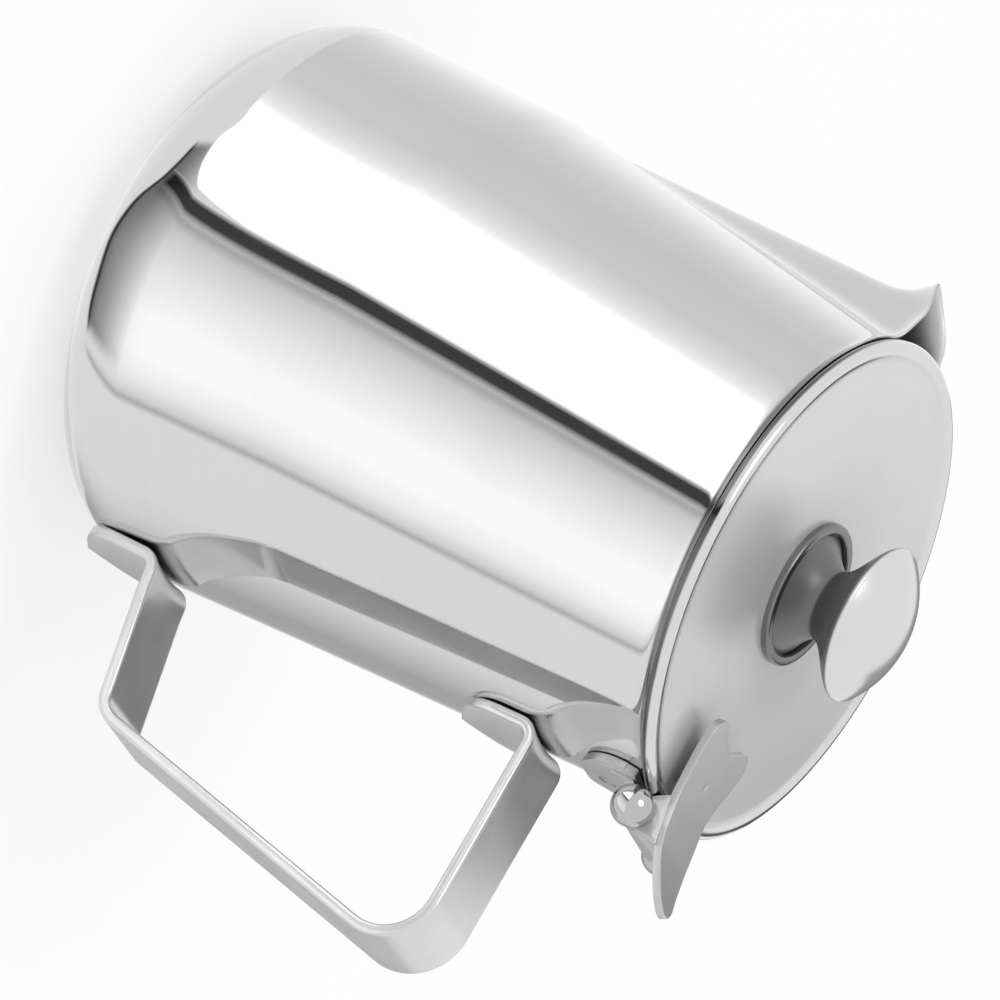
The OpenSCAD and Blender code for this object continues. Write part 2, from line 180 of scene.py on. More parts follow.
floor_r = 6.0
floor_tone = 0.93
floor_glow = 0.62
floor_paint, flow = shader("floor_paint")
flow.node("ShaderNodeOutputMaterial", {}, {"Surface": flow.node("ShaderNodeMixShader", {}, {
    0: seen_by(flow) * floor_glow,
    1: flow.node("ShaderNodeBsdfDiffuse", {}, {"Color": (floor_tone, floor_tone, floor_tone, 1)}),
    2: flow.node("ShaderNodeEmission", {}, {"Color": (1, 1, 1, 1), "Strength": 1.0})})})
corners = [(floor_r * x, floor_r * y, 0) for x, y in ((-1, -1), (1, -1), (1, 1), (-1, 1))]
floor = mesh_piece("floor", corners, [(0, 1, 2, 3)])
floor.data.materials.append(floor_paint)

room_tone = 0.93
room = bpy.data.worlds.new("room")
room.use_nodes = True
room.node_tree.nodes.clear()
flow = Flow(room.node_tree)
seen = seen_by(flow)
strength = seen + (1 - seen) * room_tone
flow.node("ShaderNodeOutputWorld", {}, {"Surface": flow.node(
    "ShaderNodeBackground", {}, {"Color": (1, 1, 1, 1), "Strength": strength})})
bpy.context.scene.world = room


def lamp(name, place, aim, size, watts, mirrored):
    """A round soft lamp that points at aim. The polished steel shows only a mirrored one."""
    light = bpy.data.lights.new(name, "AREA")
    light.shape = "DISK"
    light.size = size
    light.energy = watts
    made = bpy.data.objects.new(name, light)
    made.location = place
    made.visible_glossy = mirrored
    made.rotation_mode = "QUATERNION"
    made.rotation_quaternion = (Vector(aim) - Vector(place)).to_track_quat("-Z", "Y")
    bpy.context.collection.objects.link(made)


jug_mid = (0, 0, 0.06)
lamp("key_lamp", (0.35, 0.45, 0.85), jug_mid, size=0.5, watts=1.6, mirrored=True)
lamp("side_lamp", (-0.7, -0.1, 0.6), jug_mid, size=0.4, watts=0.7, mirrored=False)


def mirrored_only(piece, paint, flow, level, strength):
    """Gives the piece a glowing grey paint, and hides it from all but mirrors."""
    grey = flow.node("ShaderNodeCombineColor", {}, {0: level, 1: level, 2: level})
    flow.node("ShaderNodeOutputMaterial", {}, {"Surface": flow.node(
        "ShaderNodeEmission", {}, {"Color": grey, "Strength": strength})})
    paint.cycles.emission_sampling = "NONE"
    piece.data.materials.append(paint)
    piece.visible_camera = False
    piece.visible_diffuse = False
    piece.visible_shadow = False


# The cards' tone by the plan angle at which the wall mirrors them, in degrees. From the spout
# round to the handle: a grey side, the white panel, the dark seam, the bright panel with its
# thin dark edge, and a grey side that is darker behind the handle.
card_tones = [(15, 0.95), (25, 1.12), (32, 1.1), (42, 0.9), (52, 0.83), (64, 0.88),
              (69, 1.05), (72, 1.28), (75, 1.9), (95.8, 1.9),
              (96.3, 0.06), (99.4, 0.07), (99.9, 0.78), (101.2, 0.54),
              (103, 0.85), (105, 0.95), (111, 1.2), (118, 1.42), (125, 1.44), (130, 1.27),
              (133.8, 0.92), (134.9, 0.6), (135.3, 0.68), (136, 1.03), (155, 1.0), (161, 0.93),
              (168, 0.72), (176, 0.5), (184, 0.46), (188, 0.52), (191, 0.8), (195, 0.95)]
card_bright = 2.0
card_far = 1500
mirror_r = 44.6
card_first = 15.3
card_span = 180
card_steps = 360
card_z = 0.3

# Each point lies where the wall at one plan angle mirrors it to the camera, at one of these
# distances from the wall in mm. Negative ones lie under the foot's round.
card_reaches = (-14, -3, 0.5, 3, 6, 9, 12, 16, 20, 26, 34, 45, card_far)
points, angles, reaches = [], [], []
for reach in card_reaches:
    for i in range(card_steps + 1):
        angle = card_first + card_span * i / card_steps
        a = math.radians(angle)
        b = 2 * a - (camera_azimuth + math.pi / 2)
        points.append(Vector((mirror_r * math.cos(a) + reach * math.cos(b),
                              mirror_r * math.sin(a) + reach * math.sin(b), card_z)) * mm)
        angles.append((angle - card_first) / card_span)
        reaches.append(reach)
ring = card_steps + 1
faces = [(j * ring + i, (j + 1) * ring + i, (j + 1) * ring + i + 1, j * ring + i + 1)
         for j in range(len(card_reaches) - 1) for i in range(card_steps)]
cards = mesh_piece("cards", points, faces)
for name, values in (("bearing", angles), ("reach", reaches)):
    cards.data.attributes.new(name, "FLOAT", "POINT").data.foreach_set("value", values)
card_paint, flow = shader("card_paint")
bearing = flow.node("ShaderNodeAttribute", {"attribute_name": "bearing"}, out="Fac")
reach = flow.node("ShaderNodeAttribute", {"attribute_name": "reach"}, out="Fac")
plan_turn = bearing * card_span + card_first


def by_turn(values, most_value, shift=0.0, curve="LINEAR"):
    """A value read from (plan angle, value) pairs, along the bearing."""
    stops = [((angle - card_first) / card_span, value / most_value) for angle, value in values]
    place = bearing + shift / card_span
    return most_value * flow.node("ShaderNodeValToRGB", {"stops": stops, "curve": curve},
                                  {"Fac": place})


# Near the foot the tones turn towards the spout, except past the middle of the bright panel
turn_most, turn_fade = 8.0, 26
unturned_from, unturned_over = 106, 16
fading = reach / -turn_fade
foot_turn = turn_most * fading.maths("EXPONENT", fading) * (
    1 - eased((plan_turn - unturned_from) / unturned_over))
tone = by_turn(card_tones, card_bright, foot_turn)

# Near the foot the white panel ends in a round corner, and the bright one at a dark line. Both
# ends are given as (plan angle, reach in mm), the line's with line_low added.
panel_from = by_turn([(66, 26), (72, 24), (76, 30), (80, 17), (87, 19), (91, 26),
                      (93.5, 44), (95.5, 70)], most_value=80, curve="B_SPLINE")
line_low = 10
line_at = by_turn([(78, 18), (84, 17), (91, 13), (96, 7.5), (102, 5.5), (108, 4.5), (113, 5),
                   (119, 6), (126, 6.6), (131, 8.5)], most_value=40, curve="B_SPLINE") - line_low
past = reach - line_at
seam, seam_soft = 95.6, 0.6
corner_soft, line_soft = 3, 6
on_side = eased((plan_turn + foot_turn - seam) / seam_soft)
seen_far = eased((reach - panel_from) / corner_soft + 0.5) * (1 - on_side) + eased(
    (past + 1) / line_soft) * on_side

# Past that line the bright panel begins in shade, and it clears over shade_reach
shade_from, shade_to, shade_reach = 81, 128, 46
from_over, to_over = 3, 5
line_dark, line_half = 0.93, 1.5
in_shade = eased((plan_turn - shade_from) / from_over) * (
    1 - eased((plan_turn - shade_to) / to_over))
climb = flow.node("ShaderNodeValToRGB", {"stops": [
    (0, 0.2), (0.13, 0.3), (0.38, 0.6), (0.75, 0.93), (1, 1)]}, {"Fac": past / shade_reach})
shade = in_shade * (1 - climb) * eased(past + 0.5) * (1 - seen_far * (1 - on_side))
edge_line = line_dark * in_shade * (1 - eased(size_of(past) / line_half))
level = (1 + seen_far * (tone - 1)) * (1 - shade) * (1 - edge_line) / card_bright
mirrored_only(cards, card_paint, flow, level, card_bright)

# A screen stands behind the jug, square to what the flat lid mirrors. It darkens along slant
# and gives the lid its falling grey. Only metal sees it.
screen_mid = Vector((31.1, -131.1, 176.7)) * mm
screen_side = Vector((0.965, 0.264, 0))
screen_up = Vector((-0.112, 0.409, 0.906))
screen_left, screen_right = -58, 60
screen_low, screen_top = -125, 60
points = [screen_mid + (screen_side * u + screen_up * v) * mm
          for u, v in ((screen_left, screen_low), (screen_right, screen_low),
                       (screen_right, screen_top), (screen_left, screen_top))]
screen = mesh_piece("screen", points, [(0, 1, 2, 3)])
screen_paint, flow = shader("screen_paint")
screen_shade = 0.1
dark_from, dark_over = 14, 18
slant = screen_side * -0.868 + screen_up * -1.168
along = flow.node("ShaderNodeVectorMath", {"operation": "DOT_PRODUCT"}, {
    0: flow.node("ShaderNodeTexCoord", out="Object"), 1: tuple(slant)}, out=1)
along = along / mm - slant.dot(screen_mid) / mm
level = 1 - (1 - screen_shade) * eased((along - dark_from) / dark_over)
mirrored_only(screen, screen_paint, flow, level, 1.0)


# Jug body: one deep-drawn cup of stainless sheet with a rounded foot and a recessed base. The
# mouth is pressed into a V spout whose beak curls forward, and the whole rim turns out a little.
# The outside is mirror polished, with faint spun lines and wipe marks.
def split(flow, vector):
    """The x, y and z of a vector."""
    parts = flow.node("ShaderNodeSeparateXYZ", {}, {"Vector": vector})
    return [Flow(flow.tree, socket) for socket in parts.socket.node.outputs]


def steel(name, tone, gloss, grain, depth, smudge=0.03, round_at=None, metal=1.0, change=None):
    """Stainless steel. gloss is its roughness; grain is how finely the polishing lines follow
    each other along x, y and z, or from the centre round_at; depth is their relief. change
    takes the flow and the place, and gives a factor for the tone, more roughness and metal."""
    made, flow = shader(name)
    where = flow.node("ShaderNodeTexCoord", out="Object")
    if round_at is None:
        lined = flow.node("ShaderNodeMapping", {}, {"Vector": where, "Scale": grain})
    else:
        x, y, z = split(flow, where)
        x = x - round_at[0]
        y = y - round_at[1]
        lined = flow.node("ShaderNodeCombineXYZ", {}, {
            0: root(x * x + y * y) * grain[0], 1: z * grain[2], 2: x * grain[1]})
    lines = flow.node("ShaderNodeTexNoise", {}, {"Vector": lined, "Scale": 1.0, "Detail": 3.0})
    clouds = flow.node("ShaderNodeTexNoise", {}, {"Vector": where, "Scale": 55.0, "Detail": 4.0})
    specks = flow.node("ShaderNodeTexNoise", {}, {"Vector": where, "Scale": 900.0, "Detail": 2.0})
    wiped_from, wiped_steep = 0.42, 4
    wiped = eased((clouds - wiped_from) * wiped_steep)
    line_share, wiped_share = 0.04, 0.02
    roughness = gloss + smudge * wiped + 0.25 * smudge * lines
    shade = tone * (1 - line_share / 2 + line_share * lines - wiped_share * wiped)
    if change:
        share, rougher, metal = change(flow, where)
        shade = shade * share
        roughness = roughness + rougher
    cool = 1.004
    colour = flow.node("ShaderNodeCombineColor", {}, {0: shade, 1: shade, 2: shade * cool})
    speck_share = 0.15
    relief = lines + speck_share * specks
    bump = flow.node("ShaderNodeBump", {}, {"Height": relief, "Strength": 1.0, "Distance": depth})
    flow.node("ShaderNodeOutputMaterial", {}, {"Surface": flow.node(
        "ShaderNodeBsdfPrincipled", {},
        {"Base Color": colour, "Metallic": metal, "Roughness": roughness, "Normal": bump})})
    return made


def group(name, inputs):
    """A Geometry Nodes tree with a mesh going in and out and named sizes, and its flows."""
    tree = bpy.data.node_groups.new(name, "GeometryNodeTree")
    tree.interface.new_socket("Geometry", in_out="INPUT", socket_type="NodeSocketGeometry")
    for key, value in inputs.items():
        size = tree.interface.new_socket(key, in_out="INPUT", socket_type="NodeSocketFloat")
        size.default_value = value
    tree.interface.new_socket("Material", in_out="INPUT", socket_type="NodeSocketMaterial")
    tree.interface.new_socket("Geometry", in_out="OUTPUT", socket_type="NodeSocketGeometry")
    entry = tree.nodes.new("NodeGroupInput")
    return tree, {socket.name: Flow(tree, socket) for socket in entry.outputs if socket.name}


def attribute(flow, name):
    """A number stored on the points of the mesh."""
    return flow.node("GeometryNodeInputNamedAttribute", {"data_type": "FLOAT"}, {"Name": name})


def close_up(shape, place, inputs):
    """The end of a tree: the shape's points placed, doubles merged and the material given."""
    flow = inputs["Geometry"]
    placed = flow.node("GeometryNodeSetPosition", {}, {"Geometry": shape, "Position": place})
    merged = flow.node("GeometryNodeMergeByDistance", {}, {
        "Geometry": placed, "Distance": merge_gap})
    painted = flow.node("GeometryNodeSetMaterial", {}, {
        "Geometry": merged, "Material": inputs["Material"]})
    flow.node("NodeGroupOutput", {}, {0: painted})


def settle(piece, tree, sizes, material):
    """Runs the tree on the piece with these sizes and keeps the result as a plain mesh."""
    modifier = piece.modifiers.new(tree.name, "NODES")
    modifier.node_group = tree
    for item in tree.interface.items_tree:
        if item.in_out == "INPUT" and item.name in sizes:
            modifier[item.identifier] = float(sizes[item.name])
        elif item.in_out == "INPUT" and item.name == "Material":
            modifier[item.identifier] = material
    finish_mesh(piece)


def finish_mesh(piece, sharp=35):
    """Turns the evaluated piece into a plain mesh, smooth up to an angle."""
    bpy.context.view_layer.update()
    seen = piece.evaluated_get(bpy.context.evaluated_depsgraph_get())
    mesh = bpy.data.meshes.new_from_object(seen)
    piece.modifiers.clear()
    piece.data = mesh
    mesh.name = piece.name
    mesh.shade_smooth()
    mesh.set_sharp_from_angle(angle=math.radians(sharp))


def ring_sheet(name, columns, rows, keys):
    """A tube of quads: one ring of points for each row, with the row's values as attributes.
    columns holds the plan angle of each point of a ring, in degrees."""
    count = len(columns)
    faces = [(j * count + i, j * count + (i + 1) % count,
              (j + 1) * count + (i + 1) % count, (j + 1) * count + i)
             for j in range(len(rows) - 1) for i in range(count)]
    made = mesh_piece(name, np.zeros((count * len(rows), 3)), faces)
    values = {"turn": np.tile(np.radians(columns), len(rows))}
    for k, key in enumerate(keys):
        values[key] = np.repeat([row[k] for row in rows], count)
    for key, value in values.items():
        made.data.attributes.new(key, "FLOAT", "POINT").data.foreach_set(
            "value", np.asarray(value, np.float32))
    return made


merge_gap = 0.002 * mm
belly_r = 45.0
body_h = 111.0
sheet_t = 0.8
foot_r = 16.0
taper = math.radians(2.4)
foot_x = belly_r - foot_r
recess_r = 25.0
recess_h = 0.6
spout_z = 45.0
mouth_shift = 4.1
mouth_draw = 3.4


def cone_r(z):
    """The radius of the plain wall at a height above the foot."""
    return foot_x + foot_r / math.cos(taper) - (z - foot_r) * math.tan(taper)


# The wall's law by height and plan angle: a cone that is drawn in and shifted back towards the
# rim, with a wedge blended into it for the spout, a flared rim and a beak that curls forward.
mouth_law, given = group("mouth_law", {
    "Foot X": foot_x, "Foot Radius": foot_r, "Taper": taper, "Rim Height": body_h,
    "Spout Height": spout_z, "Mouth Shift": mouth_shift, "Mouth Draw": mouth_draw,
    "Rim Flare": 1.3, "Flare Height": 3.0, "Keel Foot": 44.3, "Keel Top": 43.3,
    "Beak Curl": 3.9, "Beak Height": 9.0, "Beak Drop": 5.6, "Lip Share": 0.4,
    "Half Angle": math.radians(40), "Keel Round": math.radians(2), "Blend": 2.2})
flow = given["Geometry"]
turn = attribute(flow, "turn")
plan = size_of(turn)
lip_span, beak_span, curl_span = math.radians(45), math.radians(9), math.radians(16)
lip_z = given["Rim Height"] - given["Beak Drop"] * (
    given["Lip Share"] * (1 - eased(plan / lip_span))
    + (1 - given["Lip Share"]) * (1 - eased(plan / beak_span)))
z = given["Spout Height"] + (lip_z - attribute(flow, "drop") - given["Spout Height"]) * attribute(
    flow, "climb")
drawn = most((z - given["Spout Height"]) / (given["Rim Height"] - given["Spout Height"]), 0.0)
cone = given["Foot X"] + given["Foot Radius"] / cosine(given["Taper"]) - (
    z - given["Foot Radius"]) * given["Taper"].maths("TANGENT", given["Taper"])
wall_r = cone - given["Mouth Draw"] * drawn
wall_x = -given["Mouth Shift"] * drawn
keel_x = given["Keel Foot"] + (given["Keel Top"] - given["Keel Foot"]) * drawn
slope = least(given["Half Angle"] + root(plan * plan + given["Keel Round"] * given["Keel Round"]),
              math.pi / 2)
wedge_r = (keel_x - wall_x) * sine(given["Half Angle"] + given["Keel Round"]) / sine(slope)
blend = most(given["Blend"] * eased(4 * drawn), 1e-4)
meet = most(blend - size_of(wall_r - wedge_r), 0.0)
bowl_r = most(wall_r, wedge_r) + meet * meet / (4 * blend)
near_beak = 1 - eased(plan / curl_span)
curl = given["Rim Flare"] + (given["Beak Curl"] - given["Rim Flare"]) * near_beak
curl_h = given["Flare Height"] + (given["Beak Height"] - given["Flare Height"]) * near_beak
lean = most(1 - (lip_z - z) / curl_h, 0.0)
wall = bowl_r + curl * lean * lean * lean - attribute(flow, "inset")
in_mouth = attribute(flow, "mouth")
radius = attribute(flow, "cup_r") * (1 - in_mouth) + wall * in_mouth
height = attribute(flow, "cup_z") * (1 - in_mouth) + z * in_mouth
place = flow.node("ShaderNodeCombineXYZ", {}, {
    0: (radius * cosine(turn) + wall_x * in_mouth) * mm, 1: radius * sine(turn) * mm,
    2: height * mm})
close_up(given["Geometry"], place, given)

# Rows of the sheet, from the middle of the base round the outside, over the lip and back inside.
# Each is (cup_r, cup_z, climb, drop, inset, mouth).
cup_rows = [(r, recess_h) for r in (0, 6, 12, 18, 22, 24)]
recess_round = 0.5
cup_rows += [(recess_r - recess_round * math.cos(t),
              recess_h / 2 + recess_h / 2 * math.cos(math.pi * k / 6))
             for k, t in enumerate(np.linspace(0, math.pi, 7))]
cup_rows += [(27, 0), (28, 0)]
foot_end = math.pi / 2 + taper
for t in np.linspace(0, foot_end, 40):
    cup_rows.append((foot_x + foot_r * math.sin(t), foot_r - foot_r * math.cos(t)))
cup_rows += [(cone_r(z), z) for z in (20, 25, 30, 35, 39, 42)]
rows = [(r, z, 0, 0, 0, 0) for r, z in cup_rows]
outer_drop, lip_round = 0.3, sheet_t / 2
closer_above = 1.7
climbs = 1 - (1 - np.linspace(0, 1, 70)) ** closer_above
rows += [(0, 0, w, outer_drop, 0, 1) for w in climbs]
rows += [(0, 0, 1, lip_round - lip_round * math.sin(t), lip_round - lip_round * math.cos(t), 1)
         for t in np.linspace(0, math.pi, 9)[1:-1]]
rows += [(0, 0, w, lip_round, sheet_t, 1) for w in climbs[::-2]]
inner_rows = [(cone_r(z) - sheet_t, z) for z in (40, 30, 22)]
for t in np.linspace(foot_end, 0, 24):
    inner_rows.append((foot_x + (foot_r - sheet_t) * math.sin(t),
                       foot_r - (foot_r - sheet_t) * math.cos(t)))
inner_rows += [(26, sheet_t), (25, sheet_t + 0.15), (24, sheet_t + recess_h - 0.15),
               (23, sheet_t + recess_h), (14, sheet_t + recess_h), (0, sheet_t + recess_h)]
rows += [(r, z, 0, 0, sheet_t, 0) for r, z in inner_rows]
wall_columns, closer_in_front = 300, 1.25
steps = 2 * np.arange(wall_columns) / wall_columns - 1
wall_angles = 180 * np.sign(steps) * np.abs(steps) ** closer_in_front


def satin_inside_shaded_rim(flow, where):
    """The inside of the cup isn't polished, and the rim is dull under the lid, with painted shade
    darkening it there.
    """
    inset = flow.node("ShaderNodeAttribute", {"attribute_name": "inset"}, out="Fac")
    inner = eased((inset - 0.45) / 0.3)
    height = split(flow, where)[2] / mm
    dull_shade_h, dull_shade_soft = 1.5, 0.6
    dull_and_shade = eased((height - body_h + dull_shade_h) / dull_shade_soft)
    # Painted shade: the rim's tone drops by 0.65 in its top 1.5 mm, under the lid's bead.
    return (1 - 0.08 * inner) * (1 - 0.65 * dull_and_shade), 0.4 * inner + 0.1 * dull_and_shade, 1.0


polished_body = steel("polished_body", tone=0.66, gloss=0.035, grain=(60, 60, 2600),
                      depth=1.5e-6, smudge=0.025, change=satin_inside_shaded_rim)
body = ring_sheet("body_sheet", wall_angles, rows, (
    "cup_r", "cup_z", "climb", "drop", "inset", "mouth"))
settle(body, mouth_law, {}, polished_body)
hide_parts("jug_body")
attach(body, "jug")

# Handle: one flat strap of satin stainless steel, bent into a bow. Its two ends are rounded,
# pressed to the round of the wall, and spot-welded to it.
strap_w = 16.0
strap_t = 1.8


def back_x(z):
    """Where the outside of the wall's back line is at a height."""
    drawn = max(0, (z - spout_z) / (body_h - spout_z))
    return -mouth_shift * drawn - (cone_r(z) - mouth_draw * drawn)


# The strap's line from the lower tab round the grip to the upper tab. The seat is what stays
# between two sheets at a weld.
seat = 0.15
lower_z, lower_rise = 24.0, math.radians(14.5)
upper_z, upper_rise = 91.6, math.radians(2.3)
grip_x, grip_lean = 69.85, math.radians(11.3)
tab_x = belly_r + seat + strap_t / 2
wall_lean = math.atan((mouth_draw - mouth_shift) / (body_h - spout_z) + math.tan(taper))
lower_corner = np.array([-grip_x, lower_z + (grip_x - tab_x) * math.tan(lower_rise)])
upper_bend = np.array([back_x(upper_z) - seat - strap_t / 2, upper_z])
grip_len = (upper_z + (grip_x + upper_bend[0]) * math.tan(upper_rise) - lower_corner[1]) / (
    math.cos(grip_lean) - math.sin(grip_lean) * math.tan(upper_rise))
upper_corner = lower_corner + grip_len * np.array([-math.sin(grip_lean), math.cos(grip_lean)])
lower_end, upper_end = 9.6, 77.3
upper_drop = upper_z - upper_end
route = [(-tab_x, lower_end), (-tab_x, lower_z), tuple(lower_corner), tuple(upper_corner),
         tuple(upper_bend), (upper_bend[0] - upper_drop * math.tan(wall_lean), upper_end)]
bends = [0, 2.6, 4.6, 8, 2.6, 0]
strap_step = 0.4
hug_from, hug_over = 4.5, 2.5
near_wall, steep = 6, 10
side_z = 60

# The strap's section is swept along its line, pressed to the wall's round and rounded at its ends
strap_law, given = group("strap_law", {
    "Width": strap_w, "Thickness": strap_t, "Edge": 0.55, "Wall Radius": belly_r,
    "Lower End": lower_end, "Upper End": upper_end})
flow = given["Geometry"]
line = flow.node("GeometryNodeMeshToCurve", {}, {"Mesh": given["Geometry"]})
bow = flow.node("GeometryNodeFilletCurve", {"mode": "POLY"}, {
    "Curve": line, "Count": 24, "Radius": attribute(flow, "bend") * mm})
bow = flow.node("GeometryNodeResampleCurve", {"mode": "LENGTH"}, {
    "Curve": bow, "Length": strap_step * mm})
edge = flow.node("GeometryNodeCurvePrimitiveQuadrilateral", {}, {
    "Width": given["Thickness"] * mm, "Height": given["Width"] * mm})
edge = flow.node("GeometryNodeFilletCurve", {"mode": "POLY"}, {
    "Curve": edge, "Count": 4, "Radius": given["Edge"] * mm})
edge = flow.node("GeometryNodeResampleCurve", {"mode": "COUNT"}, {"Curve": edge, "Count": 110})
strap = flow.node("GeometryNodeCurveToMesh", {}, {
    "Curve": bow, "Profile Curve": edge, "Fill Caps": True})
x, y, z = (part / mm for part in split(flow, flow.node("GeometryNodeInputPosition")))
on_wall = eased((x + given["Wall Radius"] + hug_from) / hug_over)
hug = given["Wall Radius"] - root(given["Wall Radius"] * given["Wall Radius"] - y * y)
half = given["Width"] / 2
upper_side = eased((z - side_z) * steep)
end_z = given["Lower End"] + (given["Upper End"] - given["Lower End"]) * upper_side
near_end = most(least((end_z + half - z) / half, 1.0), 0.0) * eased(
    (x + given["Wall Radius"] + near_wall) * steep)
narrow = root(most(1 - near_end * near_end, 0.0))
tip_share = 0.02
place = flow.node("ShaderNodeCombineXYZ", {}, {
    0: (x + hug * on_wall) * mm, 1: y * (tip_share + (1 - tip_share) * narrow) * mm, 2: z * mm})
close_up(strap, place, given)


def clouded(flow, where):
    """Heat and handling leave soft clouds on the strap."""
    patches = flow.node("ShaderNodeTexNoise", {}, {"Vector": where, "Scale": 90.0, "Detail": 3.0})
    return 0.95 + 0.1 * eased((patches - 0.3) / 0.4), 0.06 * patches, 0.95


satin_strap = steel("satin_strap", tone=0.68, gloss=0.25, grain=(300, 1500, 300),
                    depth=0.8e-6, smudge=0.05, change=clouded)
handle = bpy.data.objects.new("handle_strap", bpy.data.meshes.new("handle_strap"))
handle.data.from_pydata([(px * mm, 0, pz * mm) for px, pz in route],
                        [(i, i + 1) for i in range(len(route) - 1)], [])
handle.data.attributes.new("bend", "FLOAT", "POINT").data.foreach_set("value", bends)
bpy.context.collection.objects.link(handle)
settle(handle, strap_law, {}, satin_strap)
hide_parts("handle")
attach(handle, "jug")


# Hinge bracket: a small tab stamped from 1.2 mm stainless sheet, spot-welded under the rim
# behind the lid and rolled into a knuckle for the pin. It is its CAD shape with edges rounded.
def rounded_edges(piece, width, sharp):
    """Rounds the edges sharper than an angle and keeps the piece as a plain mesh."""
    bevel = piece.modifiers.new("edges", "BEVEL")
    bevel.width = width
    bevel.segments = 3
    bevel.limit_method = "ANGLE"
    bevel.angle_limit = math.radians(sharp)
    finish_mesh(piece, sharp)


bracket_edge = 0.12
satin_sheet = steel("satin_sheet", tone=0.5, gloss=0.34, grain=(1500, 1500, 400), depth=2e-6,
                    smudge=0.05, metal=0.7)
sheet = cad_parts["hinge_bracket"].data.copy()
sheet.materials.clear()
sheet.materials.append(satin_sheet)
work = bmesh.new()
work.from_mesh(sheet)
for face in work.faces:
    face.material_index = 0
bmesh.ops.remove_doubles(work, verts=work.verts, dist=merge_gap)
bmesh.ops.dissolve_limit(work, angle_limit=math.radians(0.6), verts=work.verts, edges=work.edges)
work.to_mesh(sheet)
work.free()
bracket = bpy.data.objects.new("bracket_sheet", sheet)
bpy.context.collection.objects.link(bracket)
rounded_edges(bracket, bracket_edge * mm, sharp=35)
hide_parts("hinge_bracket")
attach(bracket, "jug")

# Hinge pin: a bright turned pin through the knuckle and the lever's ears, with a round head at
# one end and a second round head pressed onto the other.
# Everything turned takes its shape from this tree: rings of points round a centre, tipped over X
turning_law, given = group("turning_law", {
    "Centre X": 0, "Centre Y": 0, "Centre Z": 0, "Tip": 0})
flow = given["Geometry"]
turn, reach = attribute(flow, "turn"), attribute(flow, "reach")
stood = flow.node("ShaderNodeCombineXYZ", {}, {
    0: reach * cosine(turn), 1: reach * sine(turn), 2: attribute(flow, "height")})
tipped = flow.node("ShaderNodeVectorRotate", {"rotation_type": "X_AXIS"}, {
    "Vector": stood, "Angle": given["Tip"]})
centre = flow.node("ShaderNodeCombineXYZ", {}, {
    0: given["Centre X"], 1: given["Centre Y"], 2: given["Centre Z"]})
moved = flow.node("ShaderNodeVectorMath", {"operation": "ADD"}, {0: tipped, 1: centre})
place = flow.node("ShaderNodeVectorMath", {"operation": "SCALE"}, {0: moved, "Scale": mm})
close_up(given["Geometry"], place, given)


def turned(name, profile, centre, material, tip=0, count=96):
    """A piece turned on a lathe. profile is (radius, height), up the outside and back."""
    piece = ring_sheet(name, np.arange(count) * 360 / count, profile, ("reach", "height"))
    settle(piece, turning_law, {"Centre X": centre[0], "Centre Y": centre[1],
                                "Centre Z": centre[2], "Tip": tip}, material)
    return piece


pin_at = (-47.198, 0, 112.0)
pin_r = 1.25
head_r = 3.2
head_gap = 0.01
ear_out = 7.2
head_centre = 0.35 * 2 * head_r
bright_pin = steel("bright_pin", tone=0.5, gloss=0.07, grain=(900, 900, 900), depth=1e-6)
head_foot = math.asin(head_centre / head_r)
head_arc = [(head_r * math.cos(t), head_centre + head_r * math.sin(t))
            for t in np.linspace(-head_foot, math.pi / 2, 28)]
pin_tip = ear_out + 2.24
tip_edge = 0.2
pin_profile = [(0, -pin_tip), (pin_r - tip_edge, -pin_tip), (pin_r, -pin_tip + tip_edge),
               (pin_r, ear_out)]
pin_profile += [(r, ear_out + head_gap + h) for r, h in head_arc]
pin = turned("pin_and_head", pin_profile, pin_at, bright_pin, tip=math.pi / 2, count=64)
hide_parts("hinge_pin")
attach(pin, "lid_assembly")

hole_gap = 0.02
hole_r = pin_r + hole_gap
cap_profile = [(0, pin_tip + hole_gap), (hole_r, pin_tip + hole_gap),
               (hole_r, ear_out + head_gap)]
cap_profile += [(r, ear_out + head_gap + h) for r, h in head_arc]
cap = turned("pressed_head", cap_profile, pin_at, bright_pin, tip=-math.pi / 2, count=64)
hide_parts("pin_cap")
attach(cap, "lid_assembly")

# Thumb lever: a stamped stainless sheet with two lobes in front, held to the lid by a pressed
# and welded dimple. Two folded ears go down to the pin, and the tail curls up for the thumb.
lever_t = 1.2
lever_front, lever_tail = -29.0, -57.4
lever_place = [(-25, 116.5), (-31, 116.5), (-36, 116.2), (-41, 116.2), (-49.2, 117.8),
               (-53.2, 119.4), (-58, 121.9), (-60, 123)]
lever_width = [(-28, 7.9), (-29.2, 8.2), (-30.2, 8.5), (-31.8, 8.6), (-34, 8.5), (-37, 7.8),
               (-40, 7.2), (-43, 7.1), (-47.5, 7.1), (-50, 6.6), (-52, 5.7), (-53.2, 5.0),
               (-54, 4.6), (-55.6, 3.6), (-56.8, 2.6), (-58, 1.8)]
lobe_notch, notch_share = 2.5, 0.8
lobe_round, tail_round = 1.9, 1.4
dimple_x, dimple_r, dimple_deep = -37.6, 0.9, 0.06


def softened(pairs, spread):
    """A smooth curve of one value over x, from (x, value) pairs blurred over a spread in mm."""
    first, last, per_mm = -64, -20, 10
    grid = np.linspace(first, last, (last - first) * per_mm + 1)
    values = np.interp(grid, *zip(*sorted(pairs)))
    kernel = np.exp(-np.linspace(-2, 2, int(spread * 4 * per_mm) + 1) ** 2)
    padded = np.pad(values, len(kernel) // 2, mode="edge")
    smooth_values = np.convolve(padded, kernel / kernel.sum(), mode="valid")
    return lambda x: np.interp(x, grid, smooth_values[:len(grid)])


